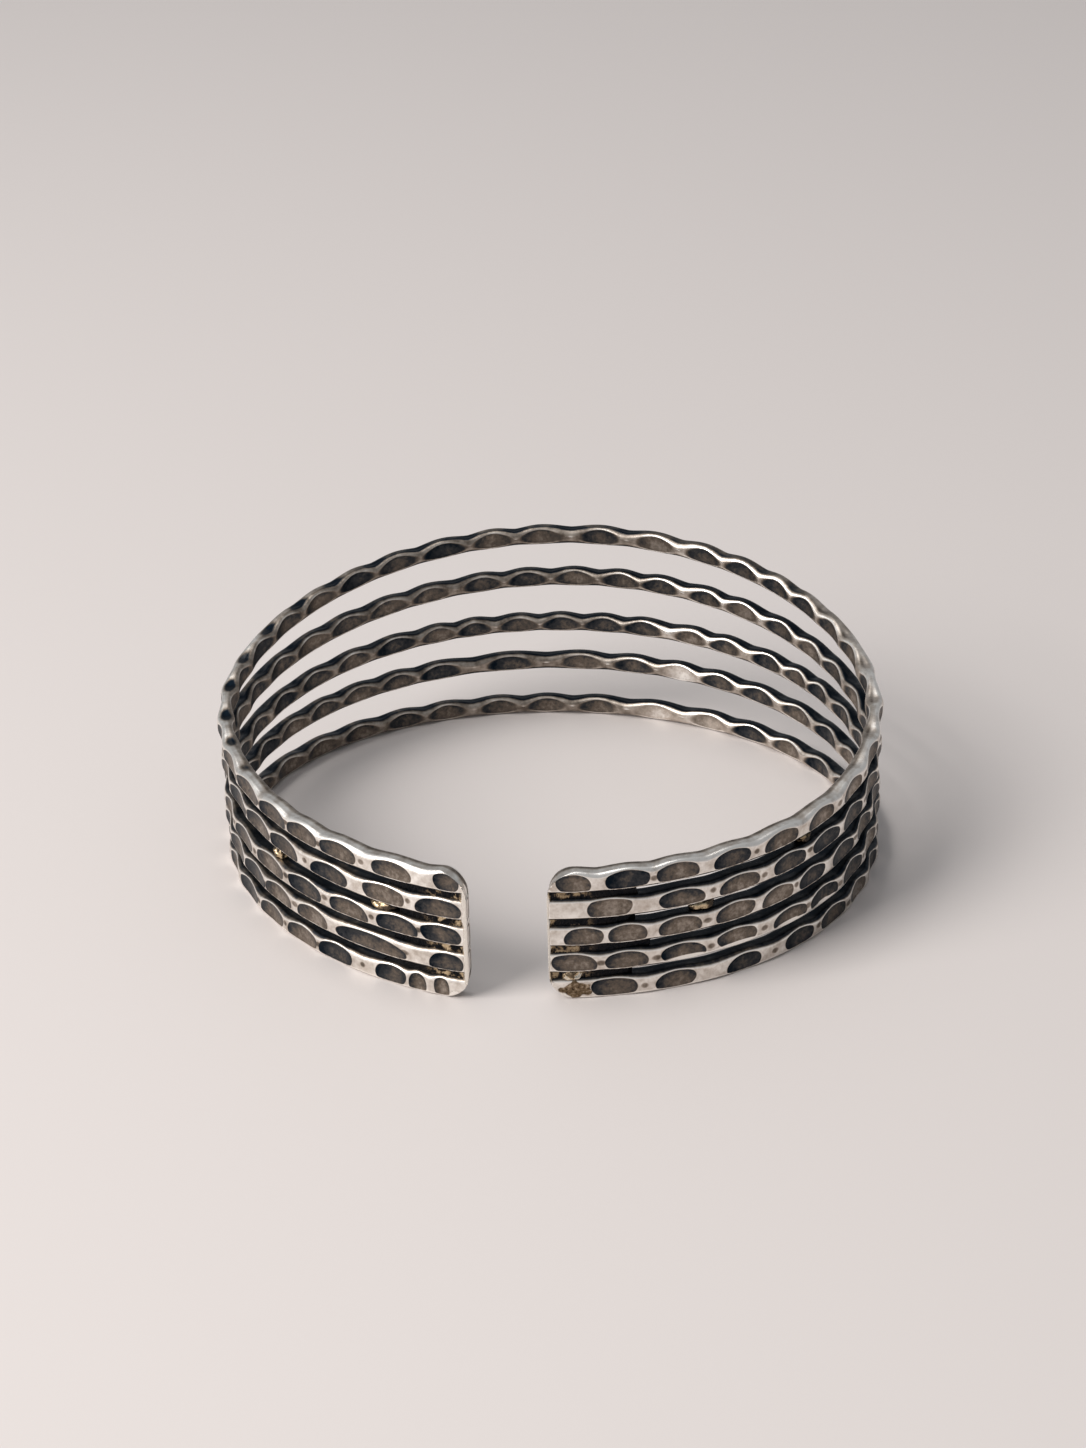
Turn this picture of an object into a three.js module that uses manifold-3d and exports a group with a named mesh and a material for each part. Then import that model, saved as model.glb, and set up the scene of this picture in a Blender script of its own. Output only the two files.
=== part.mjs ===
// Open cuff bracelet of five hammered silver wires, lying on its side as if on a table.
// Seen from above it is an oval that is open at the front. The wires lie side by side at
// the two soldered terminals and fan out towards the back of the wrist.
// Millimetres, +Z up along the wrist, +X to the right, +Y to the back of the cuff. The origin
// is on the table, under the middle of the cuff.

import * as THREE from "three";
import { mergeVertices } from "three/addons/utils/BufferGeometryUtils.js";
import Module from "manifold-3d";

// The oval, measured to the middle of the wires: half an ellipse at the back, and at the front
// a left and a right arm. A fullness of 2 is a true ellipse, and an arm with less is straighter.
const halfWidth = 29;
const backDepth = 25;
const leftDepth = 28.15;
const leftFullness = 1.8;
const rightDepth = 27.2;
const rightFullness = 2.06;
const opening = 6.57;

// One wire: a square wire with cut corners, its full height and thickness
const wireCount = 5;
const wireHeight = 1.95;
const wireThickness = 1.65;
const cornerCut = 0.38;

// The fan: distance between the middles of neighbouring wires at the ends and at the back
const endPitch = 2.55;
const backPitch = 4.53;
const fanPower = 2;

// Hammer marks: how deep they go into the outer and inner faces, and how deep those
// halfway between go into the top and bottom. The flat of a mark is a share of its step.
const markStep = 4.9;
const faceMark = 0.14;
const edgeMark = 0.2;
const flatShare = 0.46;

// The wires by hand, top wire first. Their marks are counted from the left and the right
// terminal: how far in the first lies and how far apart they are, as shares of markStep.
// The lift is how far a wire stands from its even place at the back, as a share of backPitch.
const wireRows = [
  { leftFirst: 0.37, leftStep: 1.0, rightFirst: 0.43, rightStep: 0.94, lift: 0 },
  { leftFirst: 0.45, leftStep: 1.14, rightFirst: 1.02, rightStep: 1.06, lift: 0 },
  { leftFirst: 0.39, leftStep: 1.01, rightFirst: 0.52, rightStep: 0.9, lift: -0.04 },
  { leftFirst: 0.44, leftStep: 0.95, rightFirst: 0.37, rightStep: 0.99, lift: 0.04 },
  { leftFirst: 0.51, leftStep: 1.0, rightFirst: 1.06, rightStep: 1.14, lift: 0 },
];

// Solder between the wires at the terminals, and the round of the terminals' corners
const solderLength = 8;
const solderThickness = 1.1;
const terminalRound = 2;

// Spots of solder further along: groove 1 is the top one, and the place is a share of the
// wire's length from the terminal of that side to the middle of the spot
const spotLength = 1.3;
const spotThickness = 0.8;
const solderSpots = [
  { side: "right", groove: 2, place: 0.08 },
  { side: "right", groove: 1, place: 0.145 },
  { side: "left", groove: 2, place: 0.125 },
];

const silver = new THREE.MeshStandardMaterial({ color: 0x8d867e, roughness: 0.35, metalness: 1 });

// The left arm is the first quarter of the way round, and the right arm the last
function ovalPart(t) {
  if (t < 0.25) return { depth: leftDepth, fullness: leftFullness };
  if (t > 0.75) return { depth: rightDepth, fullness: rightFullness };
  return { depth: backDepth, fullness: 2 };
}

// Plan of the oval, from its front round the left side, the back and the right side
class OvalPlan extends THREE.Curve {
  getPoint(t, target = new THREE.Vector3()) {
    const angle = -(0.5 + 2 * t) * Math.PI;
    const { depth, fullness } = ovalPart(t);
    const across = Math.cos(angle);
    const back = Math.sin(angle);
    return target.set(
      halfWidth * Math.sign(across) * Math.abs(across) ** (2 / fullness),
      depth * Math.sign(back) * Math.abs(back) ** (2 / fullness),
      0,
    );
  }
}

// It is measured in fine steps, so that distances along the wires are true
const plan = new OvalPlan();
plan.arcLengthDivisions = 2000;
const planLength = plan.getLength();
const frontDepth = Math.max(leftDepth, rightDepth);
const upright = new THREE.Vector3(0, 0, 1);

// The wires run past the opening by this much before their ends are cut off together
const endWaste = 0.8;
const endPlace = opening / 2 - endWaste;
const wireLength = planLength - 2 * endPlace;

// How far wire number row stands from its even place at the back, where row 0 is the lowest
// and may lie between two wires
function backLift(row) {
  const below = wireRows[wireCount - 1 - Math.floor(row)];
  const above = wireRows[wireCount - 1 - Math.ceil(row)];
  return backPitch * THREE.MathUtils.lerp(below?.lift ?? 0, above?.lift ?? 0, row % 1);
}

// Point at a distance along a wire from its left end, moved outwards and up from the middle
// of wire number row
function onWire(distance, row, outwards, up) {
  const share = (endPlace + distance) / planLength;
  const point = plan.getPointAt(share);
  const normal = upright.clone().cross(plan.getTangentAt(share));
  const towardsBack = (point.y + frontDepth) / (frontDepth + backDepth);
  const pitch = endPitch + (backPitch - endPitch) * towardsBack ** fanPower;
  point.addScaledVector(normal, outwards);
  point.z = wireHeight / 2 + row * pitch + backLift(row) * towardsBack + up;
  return point;
}

// Middles of a wire's hammer marks, from its left end: the steps of the left side change
// smoothly into those of the right side on the way round
function markPlaces({ leftFirst, leftStep, rightFirst, rightStep }) {
  const start = endWaste + leftFirst * markStep;
  const finish = wireLength - endWaste - rightFirst * markStep;
  const steps = Math.round((finish - start) / (markStep * (leftStep + rightStep) / 2));
  return Array.from({ length: steps + 1 }, (_, i) => {
    const fromLeft = start + i * leftStep * markStep;
    const fromRight = finish - (steps - i) * rightStep * markStep;
    return THREE.MathUtils.lerp(fromLeft, fromRight, THREE.MathUtils.smoothstep(i, 0, steps));
  });
}

// Sections along a wire: the two ends of each mark's flat, where the faces are beaten in,
// and the middle between two marks, where the top and bottom are
function wireStations(row) {
  const places = markPlaces(row);
  const stations = [{ distance: 0, face: 0, edge: 0 }];
  places.forEach((place, i) => {
    const before = place - (places[i - 1] ?? 0);
    const after = (places[i + 1] ?? wireLength) - place;
    const halfFlat = flatShare * Math.min(before, after, markStep) / 2;
    stations.push({ distance: place - halfFlat, face: faceMark, edge: 0 });
    stations.push({ distance: place + halfFlat, face: faceMark, edge: 0 });
    if (i < places.length - 1) {
      stations.push({ distance: place + after / 2, face: 0, edge: edgeMark });
    }
  });
  stations.push({ distance: wireLength, face: 0, edge: 0 });
  return stations;
}

// A straight bar with one section per station, whose corners the function place moves to
// where they belong: it gets the station, the corner across and the corner up
function bentBar(outline, stations, place) {
  const steps = stations.length - 1;
  const bar = new THREE.ExtrudeGeometry(outline, { steps, depth: steps, bevelEnabled: false });
  const corners = bar.attributes.position;
  for (let i = 0; i < corners.count; i += 1) {
    const station = stations[Math.round(corners.getZ(i))];
    const point = place(station, corners.getX(i), corners.getY(i));
    corners.setXYZ(i, point.x, point.y, point.z);
  }
  return bar;
}

function rectangle(width, height) {
  return new THREE.Shape([
    new THREE.Vector2(-width / 2, -height / 2),
    new THREE.Vector2(width / 2, -height / 2),
    new THREE.Vector2(width / 2, height / 2),
    new THREE.Vector2(-width / 2, height / 2),
  ]);
}

function wireOutline() {
  const across = wireThickness / 2;
  const up = wireHeight / 2;
  const quarter = [[across, up - cornerCut], [across - cornerCut, up]];
  const half = [...quarter, ...quarter.map(([x, y]) => [-x, y]).reverse()];
  const whole = [...half, ...half.map(([x, y]) => [-x, -y])];
  return new THREE.Shape(whole.map(([x, y]) => new THREE.Vector2(x, y)));
}

function hammeredWire(row, number) {
  return bentBar(wireOutline(), wireStations(row), ({ distance, face, edge }, x, y) =>
    onWire(distance, number, x - Math.sign(x) * face, y - Math.sign(y) * edge));
}

// Solder from the middle of one wire to the middle of another, over a stretch of the wires
function solder(start, finish, thickness, lowest, highest) {
  const steps = Math.max(1, Math.round((finish - start) / wireThickness));
  const stations = Array.from({ length: steps + 1 }, (_, i) => ({
    distance: THREE.MathUtils.lerp(start, finish, i / steps),
  }));
  return bentBar(rectangle(thickness, 1), stations, ({ distance }, x, y) =>
    onWire(distance, THREE.MathUtils.lerp(lowest, highest, y + 0.5), x, 0));
}

function terminalSolder() {
  const reach = endWaste + solderLength;
  return [[0, reach], [wireLength - reach, wireLength]].map(([start, finish]) =>
    solder(start, finish, solderThickness, 0, wireCount - 1));
}

function spotSolder({ side, groove, place }) {
  const fromLeft = side === "left" ? place * wireLength : (1 - place) * wireLength;
  const lower = wireCount - 1 - groove;
  const half = spotLength / 2;
  return solder(fromLeft - half, fromLeft + half, spotThickness, lower, lower + 1);
}

// What is cut away between the terminals, from the middle of the oval out past its front.
// Seen from there it is a straight slot that widens round the terminals' corners.
function terminalCut() {
  const top = wireHeight + (wireCount - 1) * endPitch;
  const side = opening / 2;
  const wide = side + terminalRound;
  const spare = wireHeight;
  const slot = new THREE.Shape();
  slot.moveTo(-wide, -spare);
  slot.lineTo(wide, -spare);
  slot.lineTo(wide, 0);
  slot.absarc(wide, terminalRound, terminalRound, -Math.PI / 2, -Math.PI, true);
  slot.absarc(wide, top - terminalRound, terminalRound, Math.PI, Math.PI / 2, true);
  slot.lineTo(wide, top + spare);
  slot.lineTo(-wide, top + spare);
  slot.absarc(-wide, top - terminalRound, terminalRound, Math.PI / 2, 0, true);
  slot.absarc(-wide, terminalRound, terminalRound, 0, -Math.PI / 2, true);
  slot.closePath();
  const depth = 2 * frontDepth;
  const cut = new THREE.ExtrudeGeometry(slot, { depth, curveSegments: 5, bevelEnabled: false });
  return cut.rotateX(Math.PI / 2);
}

const wasm = await Module();
wasm.setup();

// A closed geometry as a solid that can be joined and cut
function toSolid(geometry) {
  const bare = geometry.clone();
  bare.deleteAttribute("normal");
  bare.deleteAttribute("uv");
  const merged = mergeVertices(bare, 1e-4);
  return new wasm.Manifold(new wasm.Mesh({
    numProp: 3,
    vertProperties: new Float32Array(merged.attributes.position.array),
    triVerts: new Uint32Array(merged.index.array),
  }));
}

function toGeometry(solid) {
  const { vertProperties, triVerts } = solid.getMesh();
  const geometry = new THREE.BufferGeometry();
  geometry.setAttribute("position", new THREE.BufferAttribute(vertProperties, 3));
  geometry.setIndex(new THREE.BufferAttribute(triVerts, 1));
  geometry.computeVertexNormals();
  return geometry;
}

// The wires and their solder are one piece of metal
const wires = Array.from({ length: wireCount }, (_, i) =>
  hammeredWire(wireRows[i % wireRows.length], wireCount - 1 - i));
const pieces = [
  ...wires,
  ...terminalSolder(),
  ...solderSpots.map(spotSolder),
];
const soldered = pieces.map(toSolid).reduce((whole, piece) => whole.add(piece));
const trimmed = soldered.subtract(toSolid(terminalCut()));

const cuff = new THREE.Mesh(toGeometry(trimmed), silver);
cuff.name = "cuff";

// The origin goes under the middle of the cuff's box
cuff.geometry.computeBoundingBox();
const { min, max } = cuff.geometry.boundingBox;
cuff.position.set(-(min.x + max.x) / 2, -(min.y + max.y) / 2, -min.z);

const bracelet = new THREE.Group();
bracelet.add(cuff);

export default bracelet;
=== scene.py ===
import math

import bmesh
import bpy
import numpy as np
from mathutils import Matrix, Vector, noise


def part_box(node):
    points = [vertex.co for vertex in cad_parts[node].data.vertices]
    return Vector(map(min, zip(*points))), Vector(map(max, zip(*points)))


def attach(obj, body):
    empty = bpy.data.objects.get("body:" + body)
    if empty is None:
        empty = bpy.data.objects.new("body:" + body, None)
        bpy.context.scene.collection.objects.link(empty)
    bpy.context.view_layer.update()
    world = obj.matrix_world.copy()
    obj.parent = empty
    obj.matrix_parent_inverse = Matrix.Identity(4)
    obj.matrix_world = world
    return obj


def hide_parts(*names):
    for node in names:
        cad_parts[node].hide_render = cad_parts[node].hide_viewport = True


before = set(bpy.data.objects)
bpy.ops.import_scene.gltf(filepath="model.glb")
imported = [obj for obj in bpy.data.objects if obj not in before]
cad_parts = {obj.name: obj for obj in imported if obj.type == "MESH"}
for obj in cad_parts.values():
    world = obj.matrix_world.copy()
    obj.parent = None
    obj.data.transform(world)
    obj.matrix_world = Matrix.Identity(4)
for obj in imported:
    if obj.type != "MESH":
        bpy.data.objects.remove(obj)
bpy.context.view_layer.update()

# The wires
# Five square silver wires, bent round one oval that is open at the front. The lowest lies
# flat on the table, and the others rise towards the back of the wrist, where all are apart.
mm = 0.001
wire_count = 5
wire_height = 1.95 * mm
wire_thickness = 1.65 * mm
opening = 6.57 * mm
back_depth = 25 * mm
left_depth = 28.15 * mm
left_fullness = 1.8
right_depth = 27.2 * mm
right_fullness = 2.06
ellipse_fullness = 2
end_pitch = 2.55 * mm
back_pitch = 4.53 * mm
fan_power = 2
oval_steps = 8000

cuff_low, cuff_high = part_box("cuff")
half_width = (cuff_high.x - cuff_low.x - wire_thickness) / 2
oval_middle = cuff_high.y - back_depth - wire_thickness / 2

# The oval runs clockwise from its front, with the travel along it measured in fine steps.
# An arm with less fullness than an ellipse comes to its end straighter.
turn = np.linspace(0, 1, oval_steps + 1)
front_left = turn < 0.25
front_right = turn > 0.75
oval_depth = np.where(front_left, left_depth, np.where(front_right, right_depth, back_depth))
fullness = np.where(front_left, left_fullness,
                    np.where(front_right, right_fullness, ellipse_fullness))
oval_angle = -(0.5 + 2 * turn) * math.pi
across, backward = np.cos(oval_angle), np.sin(oval_angle)
oval_x = half_width * np.sign(across) * np.abs(across)**(2 / fullness)
oval_y = oval_depth * np.sign(backward) * np.abs(backward)**(2 / fullness)
travel = np.append(0, np.cumsum(np.hypot(np.diff(oval_x), np.diff(oval_y))))
heading = np.unwrap(np.arctan2(np.gradient(oval_y), np.gradient(oval_x)))

# The wires are cut off in the first and the last eighth of the oval.
eighth = oval_steps // 8
left_cut = np.interp(opening / 2, -oval_x[1:eighth], travel[1:eighth])
right_cut = np.interp(opening / 2, oval_x[:-eighth:-1], travel[:-eighth:-1])
wire_length = right_cut - left_cut

# How far each wire, lowest first, stands from its even place at the back
back_lift = (0, 0.18 * mm, -0.18 * mm, 0, 0)


def between(first, second, share):
    """The first value at a share of 0 and the second at 1."""
    return first + (second - first) * share


def to_back(along):
    """0 at the front of the oval and 1 at its back."""
    y = np.interp(along + left_cut, travel, oval_y)
    return (y + left_depth) / (left_depth + back_depth)


def on_wire(along, row, out, up):
    """Points at a distance along a wire from its left end, moved outwards and up from its
    middle. Row 0 is the lowest wire, and a row may lie between two wires."""
    x = np.interp(along + left_cut, travel, oval_x)
    y = np.interp(along + left_cut, travel, oval_y)
    course = np.interp(along + left_cut, travel, heading)
    rise = to_back(along)
    pitch = between(end_pitch, back_pitch, rise**fan_power)
    lift = np.interp(row, range(wire_count), back_lift) * rise
    return np.stack([
        x - out * np.sin(course),
        y + out * np.cos(course) + oval_middle,
        wire_height / 2 + row * pitch + lift + up,
    ], axis=-1)


# The hammer marks
# The smith planished the outer and inner faces with a round-faced hammer, which left a row
# of oval hollows in each, and here and there touched the metal between two of them.

# Top wire first: where the marks that show best lie, in millimetres from the left end, or
# from the right end at the right, the lengths of the odd ones, and how far a few marks on
# the inner face are painted pale, as painted highlights.
mark_rows = [
    {"left": (1.6, 6.7, 12.3, 16.6), "right": (2.1, 6.5, 10.9, 15.7, 20.6),
     "back": (65, 69.8, 74.7, 79.4, 85.2, 90.7, 95.7, 99.9, 104.2, 108, 112, 116.2),
     "odd": {1.6: 2.2, 2.1: 2.9}, "pale": {}},
    {"left": (2.4, 7.5, 13.4, 19.5), "right": (5, 11.2, 16.3, 21.5, 26.1),
     "back": (68.3, 73.6, 77.9, 82.6, 87.2, 91.2, 95.9, 100, 104.8, 109.1, 113.1),
     "odd": {}, "pale": {}},
    {"left": (2.3, 6.3, 11.3, 16.5, 21.6, 27), "right": (2.9, 6.6, 10.9, 16.1, 20.4, 24.6),
     "back": (64.5, 69, 72.6, 77, 81.1, 85.3, 89.4, 94.4, 98.1, 103, 106.8, 110),
     "odd": {}, "pale": {}},
    {"left": (2, 9.2, 15.8, 20.8, 25.2), "right": (2.1, 6.3, 11.3, 16.1, 21.7, 26.2),
     "back": (69, 75.9, 83.2, 88.3, 93, 97.4, 102.1, 107.3),
     "odd": {2: 3, 9.2: 7.6}, "pale": {93: 1}},
    {"left": (2.4, 4.5, 7.2, 13.1, 17.4, 22.1), "right": (5.3, 10.6, 16.8, 22.8),
     "back": (65.1, 69.5, 74.8, 79.5, 84.7, 90.5, 96.3),
     "odd": {2.4: 1.4, 4.5: 1.7, 7.2: 3.2}, "pale": {90.5: 1, 96.3: 0.45}},
]
mark_step = 4.6 * mm
mark_length = 3.75 * mm
shortest_mark = 3 * mm
longest_share = 0.9
length_spread = (0.92, 1.1)
mark_height = 2.35 * mm
mark_depth = 0.18 * mm
mark_drop = 0.13 * mm
mark_fullness = 1.75
mark_vary = {"place": 0.1 * mm, "across": 0.17 * mm, "height": 0.1, "depth": 0.15, "tilt": 0.15}
inner_growth = 1.18
left_growth = 1.14
left_grown = (4 * mm, 30 * mm)
height_power = 0.7
painted_highlight_tone = 3.2
# A mark's tone is its own random share plus painted shading, darker upwards and along it
tone_parts = {"own": 0.7, "lengthwise": 0.5, "upwards": 0.35}
dimple = {"length": 0.9 * mm, "height": 0.65 * mm, "depth": 0.03 * mm, "share": 0.75,
          "room": 3 * mm}
dimple_vary = {"place": 0.15 * mm, "across": 0.2 * mm, "length": 0.3}
worn_edge = 0.007 * mm
face_signs = {"out": 1, "in": -1}
blow_seed = 40


def marks_along(number):
    """The place and the odd length of each mark on a wire, from left to right: those of its
    table, and even ones in each stretch between them that has room for two or more."""
    row = mark_rows[number]
    shown = [(place * mm, row["odd"].get(place)) for place in row["left"] + row["back"]]
    shown += [(wire_length - place * mm, row["odd"].get(place))
              for place in reversed(row["right"])]
    marks = []
    for (here, odd), (after, _) in zip(shown, shown[1:]):
        steps = round((after - here) / mark_step)
        steps = steps if steps > 2 else 1
        marks.append((here, odd))
        marks += [(here + (after - here) * step / steps, None) for step in range(1, steps)]
    return marks + shown[-1:]


def hammer_blows(number):
    """The blows on one wire, top wire 0: its marks on both faces, and the dimples between
    two marks on the outer face."""
    marks = marks_along(number)
    pale = {place * mm: share for place, share in mark_rows[number]["pale"].items()}
    places = np.array([place for place, _ in marks])
    gaps = np.diff(places)
    spans = np.minimum(np.append(gaps[0], gaps), np.append(gaps, gaps[-1]))
    chance = np.random.default_rng(blow_seed + number)
    blows = []
    for (place, odd), span in zip(marks, spans):
        usual = min(mark_length * chance.uniform(*length_spread),
                    max(span * longest_share, shortest_mark))
        length = odd * mm if odd else usual
        for face in face_signs:
            vary = chance.uniform(-1, 1, 6)
            growth = 1
            tone = vary[5]
            if face == "in":
                growth = inner_growth
                # Painted highlight: a few marks on the inner face are made paler
                tone -= painted_highlight_tone * pale.get(place, 0)
            elif left_grown[0] < place < left_grown[1] and not odd:
                growth = left_growth
            height = mark_height * growth**height_power
            blows.append({
                "kind": "mark", "face": face, "place": place + vary[0] * mark_vary["place"],
                "across": -mark_drop + mark_vary["across"] * vary[1],
                "length": length * growth,
                "height": height * (1 + mark_vary["height"] * vary[2]),
                "depth": mark_depth * (1 + mark_vary["depth"] * vary[3]),
                "tilt": mark_vary["tilt"] * vary[4], "tone": tone})
    for place in (places[:-1] + gaps / 2)[gaps > dimple["room"]]:
        vary = chance.uniform(-1, 1, 4)
        if (vary[3] + 1) / 2 < dimple["share"]:
            blows.append({
                "kind": "dimple", "face": "out", "place": place + vary[0] * dimple_vary["place"],
                "across": vary[1] * dimple_vary["across"],
                "length": dimple["length"] * (1 + dimple_vary["length"] * vary[2]),
                "height": dimple["height"], "depth": dimple["depth"], "tilt": 0, "tone": 0})
    return blows


def smooth_step(value, low, high):
    """0 at the first limit and 1 at the second, with a soft start and end."""
    share = np.clip((value - low) / (high - low), 0, 1)
    return share * share * (3 - 2 * share)


def soft_low(first, second):
    """The lower of two heights, with the edge where they meet worn round."""
    return -worn_edge * np.logaddexp(-first / worn_edge, -second / worn_edge)


def beaten(along, out, up, half_out, blows):
    """The faces after the blows, with three values for the colour: how far inside a mark or
    a dimple each point lies, from 1 at its middle down through 0 at its rim, and the tone of
    the mark, its own tone with painted shading that is darker towards its top and its left end."""
    inside = {"mark": np.full_like(along, -1.0), "dimple": np.full_like(along, -1.0)}
    tone = np.zeros_like(along)
    for face, sign in face_signs.items():
        sunk = np.zeros_like(along)
        on_face = out * sign > 0
        below_face = half_out - out * sign
        for blow in blows:
            if blow["face"] != face:
                continue
            near = on_face & (np.abs(along - blow["place"]) < blow["length"])
            ahead = 2 * (along[near] - blow["place"]) / blow["length"]
            above = 2 * (up[near] - blow["across"]) / blow["height"] - blow["tilt"] * ahead
            bowl = 1 - np.abs(ahead)**mark_fullness - above**2
            cut = bowl - below_face[near] / blow["depth"]
            held = inside[blow["kind"]][near]
            if blow["kind"] == "mark":
                shade = (tone_parts["own"] * blow["tone"] + tone_parts["upwards"] * above
                         + tone_parts["lengthwise"] * ahead * sign)
                tone[near] = np.where(cut > held, shade, tone[near])
            inside[blow["kind"]][near] = np.maximum(held, cut)
            sunk[near] += worn_edge * np.logaddexp(0, blow["depth"] * bowl / worn_edge)
        level = soft_low(out * sign, half_out - sunk)
        out = np.where(on_face, level * sign, out)
    return out, inside["mark"], inside["dimple"], tone


# The drawn and beaten wire
# Each blow spread the wire, so it is tall, thin and sharp-edged at a mark, and lower, thicker
# and rounder between two. Its ends are cut flat, and the terminals' corners are filed round.
wire_sides = 64
wire_sections = 1300
flat_share = 0.25
cap_rings = 3
cap_ring_width = 0.22
mark_corner = {"top": 0.36 * mm, "bottom": 0.28 * mm, "back": 0.48 * mm}
neck_corner = {"top": 0.42 * mm, "bottom": 0.3 * mm, "back": 0.7 * mm}
neck_drop = {"top": 0.22 * mm, "top_front": 0.08 * mm, "bottom": 0.13 * mm,
             "bottom_front": 0.04 * mm}
back_drop = 0.05 * mm
face_drop = {"out": 0.1 * mm, "out_at_side": 0.32 * mm, "in": 0.1 * mm, "in_at_back": 0.27 * mm}
side_power = 4
neck_pit = 0.12 * mm
pit_width = 0.45 * mm
spread_power = 0.75
apart_from = (0.15, 0.5)
end_round = 0.14 * mm
terminal_round = 2.5 * mm
terminal_top = wire_height + (wire_count - 1) * end_pitch
cut_blend = 1.5 * mm

# How far and over what length a wire sways in two waves outwards and one upwards, and
# where past its soldered ends it begins to
sways = ((0.05 * mm, 7.3 * mm), (0.07 * mm, 13 * mm), (0.06 * mm, 9.1 * mm))
sway_seed = 70
sway_start = (3 * mm, 14 * mm)


def lumps(places, size, seed):
    """Even, repeatable unevenness between about -1 and 1 at each place."""
    shift = Vector((seed * 3.1, seed * 1.7, 0))
    return np.array([noise.noise(Vector(place) / size + shift) for place in places])


def spread(along, blows):
    """How far the wire is spread at each place: 1 at a mark's middle and 0 between two."""
    marks = [blow for blow in blows if blow["kind"] == "mark" and blow["face"] == "out"]
    middles = np.array([mark["place"] for mark in marks])
    halves = np.array([mark["length"] for mark in marks]) / 2
    necks = (middles[:-1] + halves[:-1] + middles[1:] - halves[1:]) / 2
    stops = np.sort(np.concatenate([middles, necks]))
    wave = np.interp(along, stops, np.arange(len(stops)) * math.pi)
    return ((1 + np.cos(wave)) / 2)**spread_power


def quarter_round(radius, end):
    """How far a corner of this radius falls away at a distance from the end."""
    return radius - np.sqrt(radius**2 - np.clip(radius - end, 0, radius)**2)


def filed_corners(height, end):
    """Rounds the terminal's top and bottom corners, all wires and solder together."""
    filed = quarter_round(terminal_round, end)
    rounded = -soft_low(-soft_low(height, terminal_top - filed), -filed)
    return np.where(end < terminal_round, rounded, height)


def square_section(x, z, half_out, half_up, corner):
    """A point of the unit disc, moved to the same place on a round-cornered section. Half of
    all points lie on the corners."""
    quarter = np.arctan2(np.abs(z), np.abs(x)) / (math.pi / 2)
    bend = np.clip((quarter - flat_share) / (1 - 2 * flat_share), 0, 1) * math.pi / 2
    flat_out = half_out - corner
    flat_up = half_up - corner
    out = flat_out * np.clip((1 - quarter) / flat_share, 0, 1) + corner * np.cos(bend)
    up = flat_up * np.clip(quarter / flat_share, 0, 1) + corner * np.sin(bend)
    reach = np.hypot(x, z)
    return out * np.sign(x) * reach, up * np.sign(z) * reach


def straight_bar(sides, sections):
    """A closed bar of unit radius and unit length along +Y, with even sections."""
    bar = bmesh.new()
    bmesh.ops.create_cone(bar, cap_ends=True, segments=sides, radius1=1, radius2=1, depth=1)
    lengthwise = [edge for edge in bar.edges
                  if abs(edge.verts[0].co.z - edge.verts[1].co.z) > 0.5]
    bmesh.ops.subdivide_edges(bar, edges=lengthwise, cuts=sections - 1, use_grid_fill=True)
    ends = [face for face in bar.faces if len(face.verts) == sides]
    for _ in range(cap_rings):
        bmesh.ops.inset_individual(
            bar, faces=ends, thickness=cap_ring_width, use_even_offset=True)
    bmesh.ops.rotate(bar, verts=bar.verts[:], matrix=Matrix.Rotation(math.pi / 2, 3, "X"))
    bmesh.ops.translate(bar, verts=bar.verts[:], vec=(0, 0.5, 0))
    return bar


def corner_array(shape):
    return np.array([v.co[:] for v in shape.verts])


def keep_values(mesh, values_by_name):
    """Puts named values on a mesh's points, for its material to read."""
    for name, values in values_by_name.items():
        layer = mesh.attributes.new(name, "FLOAT", "POINT")
        layer.data.foreach_set("value", values.astype(np.float32))


def finish_mesh(name, shape, places, values_by_name):
    """Moves the shape's corners to their places, turns its faces outwards and makes it a
    smooth object with the named values on its points."""
    mesh = bpy.data.meshes.new(name)
    shape.to_mesh(mesh)
    shape.free()
    mesh.vertices.foreach_set("co", places.astype(np.float32).ravel())
    shell = bmesh.new()
    shell.from_mesh(mesh)
    bmesh.ops.recalc_face_normals(shell, faces=shell.faces[:])
    shell.to_mesh(mesh)
    shell.free()
    mesh.shade_smooth()
    keep_values(mesh, values_by_name)
    piece = bpy.data.objects.new(name, mesh)
    bpy.context.scene.collection.objects.link(piece)
    return piece


def wire_section(number, x, along, z, swell, apart):
    """The section before the blows: how far out and up each point of the unit bar comes to
    lie, half the thickness there, and how far in the pit between two marks it is."""
    behind = to_back(along)
    top_share = np.sqrt(behind) if number else 1
    top_drop = between(neck_drop["top_front"], neck_drop["top"], top_share)
    bottom_drop = between(neck_drop["bottom_front"], neck_drop["bottom"], behind)
    half_up = wire_height / 2 - (
        back_drop * behind + (1 - swell) * np.where(z > 0, top_drop, bottom_drop))
    corner = 0
    for corners, share in ((mark_corner, swell), (neck_corner, 1 - swell)):
        front = np.where(z > 0, corners["top"], corners["bottom"])
        corner = corner + share * between(front, corners["back"], behind)
    at_side = apart * (np.interp(along + left_cut, travel, oval_x) / half_width)**side_power
    drop_out = between(face_drop["out"], face_drop["out_at_side"], at_side)
    drop_in = between(face_drop["in"], face_drop["in_at_back"], apart)
    half_out = wire_thickness / 2 - swell * np.where(x > 0, drop_out, drop_in)
    out, up = square_section(x, z, half_out, half_up, corner)
    pit = apart * (1 - swell)**2 * np.exp(-(out / pit_width)**2)
    up -= neck_pit * pit * smooth_step(up, 0.5 * half_up, half_up)
    return out, up, half_out, pit


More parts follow.
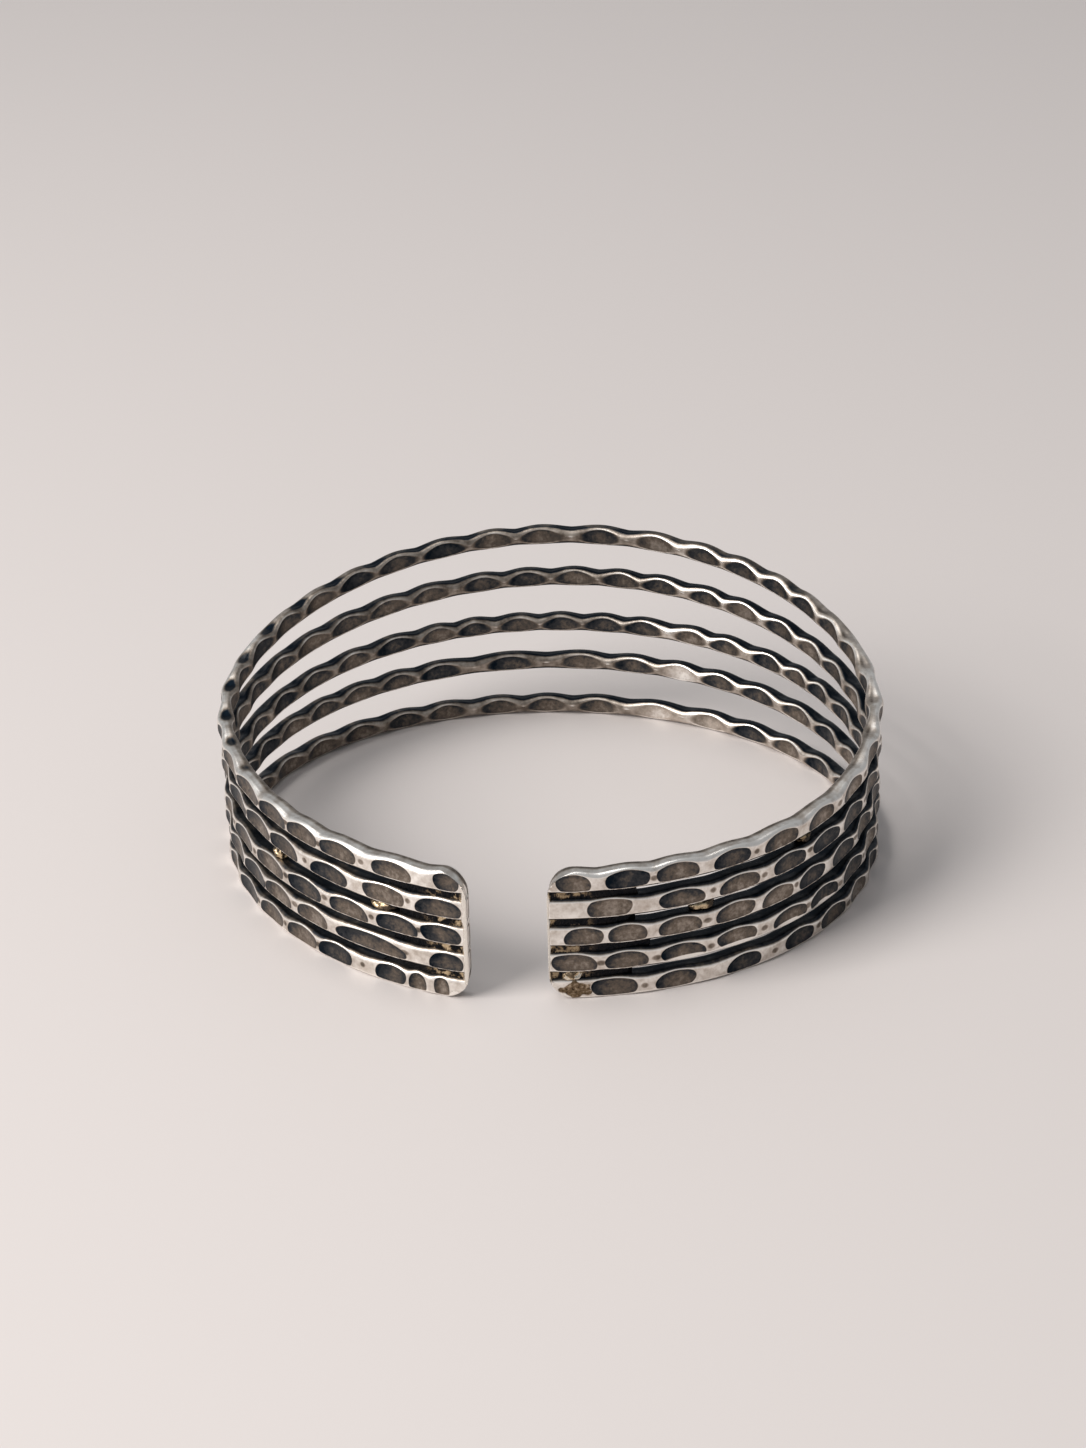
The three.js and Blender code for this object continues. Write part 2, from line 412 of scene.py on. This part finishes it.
def wire_places(number, along, end, out, up):
    """Bends a wire round the oval, where it sways a little, and cuts off its ends."""
    row = wire_count - 1 - number
    starts = np.random.default_rng(sway_seed + number).uniform(0, 2 * math.pi, len(sways))
    waves = [size * np.sin(along / length + start)
             for (size, length), start in zip(sways, starts)]
    free = smooth_step(end, *sway_start)
    places = on_wire(along, row, out + (waves[0] + waves[1]) * free,
                     up + waves[2] * (row > 0) * free)
    cut_x = np.where(along < wire_length / 2, -1, 1) * (opening / 2 + end)
    places[:, 0] += (cut_x - places[:, 0]) * smooth_step(end, cut_blend, 0)
    places[:, 2] = filed_corners(places[:, 2], end)
    return places


# The wires' wear and painted light
# The wires were rubbed bright after they were blackened. The hollows stayed dark with patina,
# the grooves and the undersides are dark with patina and painted shade, and the inner face
# is duller and darker, partly as painted shade, with softer edges to its marks. Some
# highlights are painted in too.
inner_blend = 0.3 * mm
rim_width = {"out": 0.07, "in": 0.52}

# On the left, patches of the grooves and the upper edges of the marks are painted a little
# lighter, as painted reflections.
left_half = (0.6, 0.4)
mark_painted_reflection = 0.3
groove_painted_reflection = 0.3
groove_patches = {"size": 2.5 * mm, "seed": 31, "level": 0.6}

# How far a side has to face up or down to be painted dark, with patina and painted shade,
# and how much further it has to on the inner face and at the back left
facing = {"up": (0.4, 0.7), "down": (0.12, 0.5)}
inner_lean = 0.3
left_lean = 0.1

# The top wire is dark above only at the back, as painted shade, and in the pits between its
# marks there, with patina and painted shade.
top_stretch = (0.6, 0.95)
top_dark = 0.65
pit_edge = (0.05, 0.55)
pit_dark = {"right": 0.12, "left": 1}
top_patches = {"size": 2.5 * mm, "seed": 11, "share": 0.5}

# Ridges were polished, those on the undersides hardly, where the painted shade under the
# wires covers them, and those at the back right less, as painted shade that tones down the
# window's highlight there.
ridge_smoothing = 2
least_span = 1e-12
under_ridge = 0.95
shaded_ridge_stretch = (0.66, 0.78)
shaded_ridge_share = 0.5

# The inner face at the back right is painted brighter, as a painted highlight, in a stretch
# given by the shares of the wire's length where it starts, is full, fades and ends.
inner_highlight_stretch = (0.5, 0.57, 0.72, 0.8)
inner_highlight_share = 0.8
inner_highlight_patches = {"size": 4 * mm, "seed": 17, "level": 0.75, "share": 0.5}

# A painted highlight runs along the lower edge of the lowest wire but one, on the right arm.
highlit_wire = 3
edge_highlight_stretch = (8 * mm, 13 * mm, 26 * mm, 31 * mm)
edge_highlight_height = 0.2 * mm
edge_highlight_band = (0.2 * mm, 0.12 * mm)
edge_highlight_ridge = 4

# The lowest wire has a brown stain near its right end.
stain_place = 2.2 * mm
stain_length = 1.2 * mm
stain_drop = 0.05 * wire_height
stain_height = wire_height / 2.4
stain_lumps = {"size": 0.6 * mm, "seed": 5}


def stretch(place, start, full, fade, end):
    """1 in a stretch of a wire, with soft ends."""
    return smooth_step(place, start, full) * smooth_step(place, end, fade)


def stain_values(number, along, up, places):
    """Above 0 in the stain and below 0 round it."""
    if number < wire_count - 1:
        return np.full_like(along, -1.0)
    from_middle = (wire_length - along - stain_place) / stain_length
    upward = (up + stain_drop) / stain_height
    uneven = lumps(places, stain_lumps["size"], stain_lumps["seed"])
    return 1 - from_middle**2 + uneven - upward**2


def painted_inner_highlight(along, places):
    """How much brighter the inner face is painted, as a painted highlight."""
    uneven = lumps(places, inner_highlight_patches["size"], inner_highlight_patches["seed"])
    patches = inner_highlight_patches["level"] + inner_highlight_patches["share"] * uneven
    return stretch(along / wire_length, *inner_highlight_stretch) * patches


def upper_patina_and_shade(number, along, places, swell, pit, apart):
    """How dark the side that faces up is painted, with patina and painted shade: nearly black in
    the grooves, and on the top wire only at the back and in the pits between two marks."""
    left_side = smooth_step(along / wire_length, *left_half)
    if number:
        uneven = lumps(places, groove_patches["size"], groove_patches["seed"])
        patches = np.clip(groove_patches["level"] + uneven, 0, 1)
        # Painted reflections make the grooves and the marks' upper edges lighter on the left
        painted_reflection = mark_painted_reflection * swell * apart + groove_painted_reflection * patches * (1 - apart)
        return 1 - left_side * painted_reflection
    uneven = lumps(places, top_patches["size"], top_patches["seed"])
    dark = top_dark * smooth_step(to_back(along), *top_stretch)
    dark += between(pit_dark["right"], pit_dark["left"], left_side) * smooth_step(pit, *pit_edge)
    return dark * (1 + top_patches["share"] * uneven)


def ridge_values(mesh, places, normals):
    """How far each point stands above its neighbours, where polishing reaches first."""
    count = len(places)
    links = np.empty(len(mesh.edges) * 2, np.int32)
    mesh.edges.foreach_get("vertices", links)
    one, two = links.reshape(-1, 2).T
    degree = np.bincount(one, minlength=count) + np.bincount(two, minlength=count)

    def gather(from_two, from_one):
        total = np.bincount(one, from_two, count) + np.bincount(two, from_one, count)
        return total / degree

    step = places[two] - places[one]
    span = np.sum(step**2, axis=1) + least_span
    sag = gather(-np.sum(step * normals[one], axis=1) / span,
                 np.sum(step * normals[two], axis=1) / span) * mm
    for _ in range(ridge_smoothing):
        sag = (sag + gather(sag[two], sag[one])) / 2
    return sag


def hammered_wire(number):
    """Wire number 0 is the top one."""
    blows = hammer_blows(number)
    bar = straight_bar(wire_sides, wire_sections)
    x, along, z = corner_array(bar).T
    along = along * wire_length
    end = np.minimum(along, wire_length - along)
    swell = spread(along, blows)
    apart = smooth_step(to_back(along), *apart_from)
    out, up, half_out, pit = wire_section(number, x, along, z, swell, apart)
    out, marked, dimpled, tone = beaten(along, out, up, half_out, blows)
    out = np.sign(out) * np.maximum(np.abs(out) - quarter_round(end_round, end), 0)
    places = wire_places(number, along, end, out, up)
    inner = smooth_step(-out, 0, inner_blend)
    piece = finish_mesh(f"wire_{number + 1}", bar, places, {
        "mark": marked, "dimple": dimpled, "tone": tone,
        "stain": stain_values(number, along, up, places),
        # The inner face's darkness, a duller finish with painted shade, less where the painted
        # highlight lies at the back right
        "inner": inner * (1 - inner_highlight_share * painted_inner_highlight(along, places)),
        "rim": marked / between(rim_width["out"], rim_width["in"], inner)})

    normals = np.array([n.vector[:] for n in piece.data.vertex_normals])
    lean = inner_lean * inner
    left_side = smooth_step(along / wire_length, *left_half)
    # Patina and painted shade on the sides that face up and down, between and under the wires
    upper = upper_patina_and_shade(number, along, places, swell, pit, apart) * smooth_step(
        normals[:, 2] - lean - left_lean * left_side * apart, *facing["up"])
    lower = smooth_step(-normals[:, 2] - lean, *facing["down"]) * (number < wire_count - 1)
    # The ridges' polish, held back under the painted shade of the undersides
    ridge = ridge_values(piece.data, places, normals) * (1 - under_ridge * lower)
    # Painted shade tones down the ridges at the back right
    if number:
        ridge *= 1 - shaded_ridge_share * smooth_step(along / wire_length, *shaded_ridge_stretch) * apart
    if number == highlit_wire:
        # The painted highlight along the lower edge, added to the ridges' polish
        from_edge = np.abs(up + wire_height / 2 - edge_highlight_height)
        rubbed = stretch(wire_length - along, *edge_highlight_stretch) * smooth_step(
            from_edge, *edge_highlight_band) * (out > 0)
        ridge += edge_highlight_ridge * rubbed
        lower *= 1 - rubbed
    keep_values(piece.data, {"patina_and_painted_shade": np.maximum(upper, lower), "ridge": ridge})
    return piece


wires = [hammered_wire(number) for number in range(wire_count)]


# Aged silver
# The whole cuff was blackened with liver of sulphur and then rubbed, so the hollows and
# grooves stayed dark and everything that stands proud came out pale and shiny. Shade in the
# grooves and under the wires, shading in the marks and a few highlights are painted in too.

# The colour of each tone, from rubbed bright at 0 to blackened at 1, whose blue-black end
# also colours the painted shade in the grooves, and of the stain
silver_tones = ((0.0, (0.93, 0.89, 0.84)), (0.28, (0.53, 0.465, 0.405)),
                (0.6, (0.165, 0.134, 0.108)), (0.8, (0.046, 0.048, 0.052)),
                (1.0, (0.005, 0.01, 0.017)))
stain_tones = ((0.0, (0.02, 0.015, 0.01)), (0.5, (0.2, 0.14, 0.085)), (1.0, (0.6, 0.5, 0.38)))
silver_masks = {"rim": (0.0, 1.0), "dimple": (0.0, 0.8), "ridge": (0.2, 1.8),
                "stain": (0.0, 0.25)}
silver_clouds = {"Cloud Scale": 900, "Grain Scale": 3000}
noise_roughness = 0.6
silver_grain_depth = 0.03 * mm


def link(tree, source, target):
    tree.links.new(source, target)


def math_node(tree, operation, *values, clamp=False):
    """A Math node whose inputs are sockets or numbers; returns its result."""
    node = tree.nodes.new("ShaderNodeMath")
    node.operation = operation
    node.use_clamp = clamp
    for socket, value in zip(node.inputs, values):
        if isinstance(value, bpy.types.NodeSocket):
            link(tree, value, socket)
        else:
            socket.default_value = value
    return node.outputs[0]


def added_up(tree, start, *parts):
    """A starting value with a share of each further value added."""
    total = start
    for value, share in parts:
        total = math_node(tree, "MULTIPLY_ADD", value, share, total)
    return total


def noise_node(tree, place, detail):
    node = tree.nodes.new("ShaderNodeTexNoise")
    node.inputs["Detail"].default_value = detail
    node.inputs["Roughness"].default_value = noise_roughness
    link(tree, place, node.inputs["Vector"])
    return node


def hand_worn_group():
    """Shared by the wires and the solder: cloudy tone, fine grain and a height for both."""
    group = bpy.data.node_groups.new("hand_worn_metal", "ShaderNodeTree")
    for name in ("Cloud Scale", "Grain Scale"):
        group.interface.new_socket(name, in_out="INPUT", socket_type="NodeSocketFloat")
    for name in ("Cloud", "Grain", "Height"):
        group.interface.new_socket(name, in_out="OUTPUT", socket_type="NodeSocketFloat")
    inward = group.nodes.new("NodeGroupInput")
    outward = group.nodes.new("NodeGroupOutput")
    place = group.nodes.new("ShaderNodeTexCoord").outputs["Object"]
    cloud = noise_node(group, place, detail=3)
    grain = noise_node(group, place, detail=4)
    for noise_texture, name in ((cloud, "Cloud"), (grain, "Grain")):
        link(group, inward.outputs[f"{name} Scale"], noise_texture.inputs["Scale"])
        link(group, noise_texture.outputs["Fac"], outward.inputs[name])
    height = added_up(group, grain.outputs["Fac"], (cloud.outputs["Fac"], 0.7))
    link(group, height, outward.inputs["Height"])
    return group


hand_worn = hand_worn_group()


def colour_ramp(tree, value, stops):
    node = tree.nodes.new("ShaderNodeValToRGB")
    ramp = node.color_ramp
    while len(ramp.elements) < len(stops):
        ramp.elements.new(0.5)
    for element, (place, colour) in zip(ramp.elements, stops):
        element.position = place
        element.color = (*colour, 1)
    link(tree, value, node.inputs["Fac"])
    return node.outputs["Color"]


def named_value(tree, name):
    node = tree.nodes.new("ShaderNodeAttribute")
    node.attribute_name = name
    return node.outputs["Fac"]


def smooth_mask(tree, value, low, high):
    node = tree.nodes.new("ShaderNodeMapRange")
    node.interpolation_type = "SMOOTHSTEP"
    node.inputs["From Min"].default_value = low
    node.inputs["From Max"].default_value = high
    link(tree, value, node.inputs["Value"])
    return node.outputs["Result"]


def mix_node(tree, share, first, second):
    """Mixes two colours or two plain values."""
    node = tree.nodes.new("ShaderNodeMix")
    kind = "Color" if first.type == "RGBA" else "Float"
    node.data_type = "RGBA" if kind == "Color" else "FLOAT"
    sockets = {socket.identifier: socket for socket in (*node.inputs, *node.outputs)}
    link(tree, share, sockets["Factor_Float"])
    link(tree, first, sockets[f"A_{kind}"])
    link(tree, second, sockets[f"B_{kind}"])
    return sockets[f"Result_{kind}"]


def metal_material(name, scales):
    """A metal with the hand-worn group in it; returns its surface and the group's node too."""
    material = bpy.data.materials.new(name)
    material.use_nodes = True
    tree = material.node_tree
    surface = tree.nodes["Principled BSDF"]
    surface.inputs["Metallic"].default_value = 1
    worn = tree.nodes.new("ShaderNodeGroup")
    worn.node_tree = hand_worn
    for socket, scale in scales.items():
        worn.inputs[socket].default_value = scale
    return material, tree, surface, worn


def add_bump(tree, surface, worn, strength, depth):
    bump = tree.nodes.new("ShaderNodeBump")
    if isinstance(strength, bpy.types.NodeSocket):
        link(tree, strength, bump.inputs["Strength"])
    else:
        bump.inputs["Strength"].default_value = strength
    bump.inputs["Distance"].default_value = depth
    link(tree, worn.outputs["Height"], bump.inputs["Height"])
    link(tree, bump.outputs["Normal"], surface.inputs["Normal"])


def aged_silver():
    material, tree, surface, worn = metal_material("aged_silver", silver_clouds)
    cloud, grain = worn.outputs["Cloud"], worn.outputs["Grain"]
    inner = named_value(tree, "inner")
    masks = {name: smooth_mask(tree, named_value(tree, name), *limits)
             for name, limits in silver_masks.items()}
    stain = masks["stain"]
    # Faces between the marks: patina and painted shade of the grooves and undersides, darker on
    # the inner face and in the dimples
    rubbed = added_up(tree, -0.26, (cloud, 0.8), (inner, 0.4), (masks["dimple"], 0.42),
                      (named_value(tree, "patina_and_painted_shade"), 0.82))
    # Inside the marks: patina, with the tone's painted shading
    black = added_up(tree, 0.465, (named_value(tree, "mark"), -0.28),
                     (named_value(tree, "tone"), 0.2), (inner, 0.06), (cloud, 0.45), (grain, 0.42))
    blackened = mix_node(tree, masks["rim"], rubbed, black)
    # Polish on the ridges, carrying the painted highlight on one lower edge and held back by
    # painted shade on some ridges
    polish = math_node(tree, "MULTIPLY", masks["ridge"], added_up(tree, -0.8, (inner, 0.3)))
    dark = math_node(tree, "ADD", blackened, polish, clamp=True)
    colour = colour_ramp(tree, dark, silver_tones)
    brown = colour_ramp(tree, added_up(tree, -0.75, (grain, 2.4)), stain_tones)
    link(tree, mix_node(tree, stain, colour, brown), surface.inputs["Base Color"])
    link(tree, added_up(tree, 0.34, (dark, 0.1)), surface.inputs["Roughness"])
    add_bump(tree, surface, worn, added_up(tree, 0.3, (stain, 0.6)), silver_grain_depth)
    return material


silver = aged_silver()
for wire in wires:
    wire.data.materials.append(silver)
    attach(wire, "root")
    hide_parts("cuff")


# Terminal solder
# At each end solder fills the grooves between the wires, well below their faces. It reaches
# a different way along each groove, and it closes the cut ends, filed flush with the wires.
solder_length = 7 * mm
solder_thickness = 0.95 * mm
core_thickness = 0.7 * mm
groove_edge = (0.2, 0.38)
solder_lumps = {"size": 0.7 * mm, "depth": 0.3 * mm}
ragged_share = 0.35
ragged_rows = 1.3
thin_end = {"from": (0.6, 1), "share": 0.35}
rim_thickness = 1.56 * mm
rim_ragged = 0.15 * mm
rim_rows = 3
end_gap = 0.03 * mm
fresh_edge = (4.5 * mm, 2.5 * mm)
solder_sides = 160
solder_sections = 110
least_side = 1e-9
solder_seed = {"left": 3, "right": 8}
rim_length = {"left": 0.4 * mm, "right": 0.22 * mm}
rim_edge = (1.5, 0.7)
solder_fresh = {"left": 1, "right": 0.75}
solder_tones = ((0.0, (0.78, 0.74, 0.68)), (0.3, (0.6, 0.47, 0.3)), (0.55, (0.2, 0.145, 0.09)),
                (0.8, (0.03, 0.026, 0.024)), (1.0, (0.007, 0.009, 0.012)))
solder_clouds = {"Cloud Scale": 1100, "Grain Scale": 4000}
solder_grain_depth = 0.08 * mm


def row_lumps(row, seed):
    """Unevenness from groove to groove."""
    return lumps(np.stack([row, row * 0, row * 0], axis=-1), 1, seed)


def terminal_solder(hand):
    """The unit bar's disc is pressed to a square that reaches over all the wires."""
    bar = straight_bar(solder_sides, solder_sections)
    x, share, z = corner_array(bar).T
    reach = np.hypot(x, z)
    side = np.maximum(np.abs(x), np.abs(z)) + least_side
    row = (z / side * reach + 1) / 2 * (wire_count - 1)
    seed = solder_seed[hand]
    end = share * solder_length * (1 + ragged_share * row_lumps(row * ragged_rows, seed))
    along = end if hand == "left" else wire_length - end
    rim_end = end + rim_ragged * row_lumps(row * rim_rows, seed)
    flush = smooth_step(rim_end, rim_length[hand] * rim_edge[0], rim_length[hand] * rim_edge[1])
    groove = smooth_step(np.abs(row - np.round(row)), *groove_edge)
    uneven = solder_lumps["depth"] * lumps(on_wire(along, row, x, 0), solder_lumps["size"], seed)
    thick = between(core_thickness, solder_thickness + uneven, groove)
    thick *= 1 - thin_end["share"] * smooth_step(share, *thin_end["from"])
    out = x / side * reach / 2 * between(thick, rim_thickness, flush)
    places = on_wire(along, row, out, 0)
    cut_x = (-1 if hand == "left" else 1) * (opening / 2 + end + end_gap)
    places[:, 0] += (cut_x - places[:, 0]) * smooth_step(end, cut_blend, 0)
    places[:, 2] = filed_corners(places[:, 2], end)
    return finish_mesh(f"solder_{hand}", bar, places, {
        "fresh": smooth_step(end, *fresh_edge) * solder_fresh[hand],
        "filed": flush, "bare": np.zeros_like(end)})


def aged_solder():
    material, tree, surface, worn = metal_material("aged_solder", solder_clouds)
    specks = math_node(tree, "MULTIPLY", smooth_mask(tree, worn.outputs["Cloud"], 0.46, 0.6),
                       named_value(tree, "fresh"))
    dark = added_up(tree, 1.1, (worn.outputs["Grain"], -0.3), (specks, -0.62),
                    (named_value(tree, "bare"), -0.32))
    filed = named_value(tree, "filed")
    dark = math_node(tree, "MULTIPLY_ADD", filed, -0.95, dark, clamp=True)
    link(tree, colour_ramp(tree, dark, solder_tones), surface.inputs["Base Color"])
    link(tree, added_up(tree, 0.2, (dark, 0.25)), surface.inputs["Roughness"])
    add_bump(tree, surface, worn, 0.7, solder_grain_depth)
    return material


solder_metal = aged_solder()


def dress_solder(piece):
    piece.data.materials.append(solder_metal)
    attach(piece, "root")
    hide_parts("cuff")


for hand in ("left", "right"):
    dress_solder(terminal_solder(hand))


# Solder spots
# Lumps of solder that hold the wires together further along. Each lies in the groove above
# one of the wires, the lowest being 0, in millimetres from the left or the right end.
solder_spots = [
    {"groove": 2, "end": "right", "place": 13.1, "length": 2.3, "thickness": 1.45, "fresh": 0.7},
    {"groove": 3, "end": "right", "place": 23.9, "length": 1.6, "thickness": 1.3, "fresh": 0.5},
    {"groove": 2, "end": "left", "place": 20.8, "length": 1.7, "thickness": 1.45, "fresh": 0.7},
    {"groove": 2, "end": "left", "place": 7.9, "length": 2.6, "thickness": 1.4, "fresh": 0.6},
    {"groove": 0, "end": "right", "place": 1.9, "length": 1.9, "thickness": 1.65, "fresh": 0.9},
]
spot_height = 1.25 * mm
spot_lumps = {"size": 0.55, "share": 0.25, "seed": 20}


def solder_spot(number, spot):
    lump = bmesh.new()
    bmesh.ops.create_icosphere(lump, subdivisions=5, radius=1)
    ball = corner_array(lump)
    uneven = lumps(ball, spot_lumps["size"], spot_lumps["seed"] + number)
    x, y, z = ball.T * (1 + spot_lumps["share"] * uneven)
    end = spot["place"] * mm + y * spot["length"] * mm / 2
    along = end if spot["end"] == "left" else wire_length - end
    places = on_wire(along, spot["groove"] + 0.5, x * spot["thickness"] * mm / 2,
                     z * spot_height / 2)
    fresh = np.full_like(x, spot["fresh"])
    return finish_mesh(f"solder_spot_{number + 1}", lump, places, {
        "fresh": fresh, "filed": np.zeros_like(x), "bare": fresh})


for number, spot in enumerate(solder_spots):
    dress_solder(solder_spot(number, spot))


# Floor
# A plain pale surface that the cuff lies on. It reaches well past the view on every side,
# and it is too dull to mirror anything sharply.
floor_size = 3.0
floor_colour = (0.63, 0.58, 0.557, 1)
floor_roughness = 0.55
floor_mesh = bpy.data.meshes.new("floor")
floor_shape = bmesh.new()
bmesh.ops.create_grid(floor_shape, x_segments=1, y_segments=1, size=floor_size / 2)
floor_shape.to_mesh(floor_mesh)
floor_shape.free()
floor = bpy.data.objects.new("floor", floor_mesh)
bpy.context.scene.collection.objects.link(floor)
floor_material = bpy.data.materials.new("pale_floor")
floor_material.use_nodes = True
floor_surface = floor_material.node_tree.nodes["Principled BSDF"]
floor_surface.inputs["Base Color"].default_value = floor_colour
floor_surface.inputs["Roughness"].default_value = floor_roughness
floor_mesh.materials.append(floor_material)


# Light
# Soft daylight comes from a window at the front left and a smaller share of it from above,
# and a pale room all round lightens the shadows.
window = {"toward": (-0.66, -0.46, 0.6), "distance": 0.7, "size": 0.4, "power": 5.7,
          "colour": (1, 0.98, 0.96)}
skylight = {"toward": (-0.2, 0.1, 0.97), "distance": 0.8, "size": 0.45, "power": 1.5,
            "colour": (1, 0.99, 0.98)}
room_colour = (0.93, 0.96, 1, 1)
room_strength = 0.37


def soft_light(name, toward, distance, size, power, colour):
    lamp = bpy.data.lights.new(name, "AREA")
    lamp.shape = "SQUARE"
    lamp.size = size
    lamp.energy = power
    lamp.color = colour
    light = bpy.data.objects.new(name, lamp)
    direction = Vector(toward).normalized()
    light.location = direction * distance
    light.rotation_euler = direction.to_track_quat("Z", "Y").to_euler()
    bpy.context.scene.collection.objects.link(light)


soft_light("window", **window)
soft_light("skylight", **skylight)
room = bpy.data.worlds.new("room")
room.use_nodes = True
background = room.node_tree.nodes["Background"]
background.inputs["Color"].default_value = room_colour
background.inputs["Strength"].default_value = room_strength
bpy.context.scene.world = room
bpy.context.scene.view_settings.view_transform = "Standard"

# Camera
# It stands a little to the right of the opening, with a long lens, and looks down on the
# cuff. The aim is counted from the oval's middle, across the view, up it and above the floor.
camera_yaw = -0.1413
camera_rise = 0.478
camera_roll = 0.0288
camera_distance = 300.7 * mm
camera_aim = Vector((-0.51, 3.17, 8.0)) * mm
lens_length = 82.8
film_height = 36
nearest_sight = 0.01

away = Vector((-math.sin(camera_yaw) * math.cos(camera_rise),
               -math.cos(camera_yaw) * math.cos(camera_rise), math.sin(camera_rise)))
level = Vector((math.cos(camera_yaw), -math.sin(camera_yaw), 0))
upward = away.cross(level)
right = level * math.cos(camera_roll) - upward * math.sin(camera_roll)
upright = away.cross(right)
target = Vector((0, oval_middle, camera_aim.z)) + level * camera_aim.x + upward * camera_aim.y
lens = bpy.data.cameras.new("camera")
lens.sensor_fit = "VERTICAL"
lens.sensor_height = film_height
lens.lens = lens_length
lens.clip_start = nearest_sight
camera = bpy.data.objects.new("camera", lens)
turned = Matrix((right, upright, away)).transposed().to_4x4()
camera.matrix_world = Matrix.Translation(target + away * camera_distance) @ turned
bpy.context.scene.collection.objects.link(camera)
bpy.context.scene.camera = camera
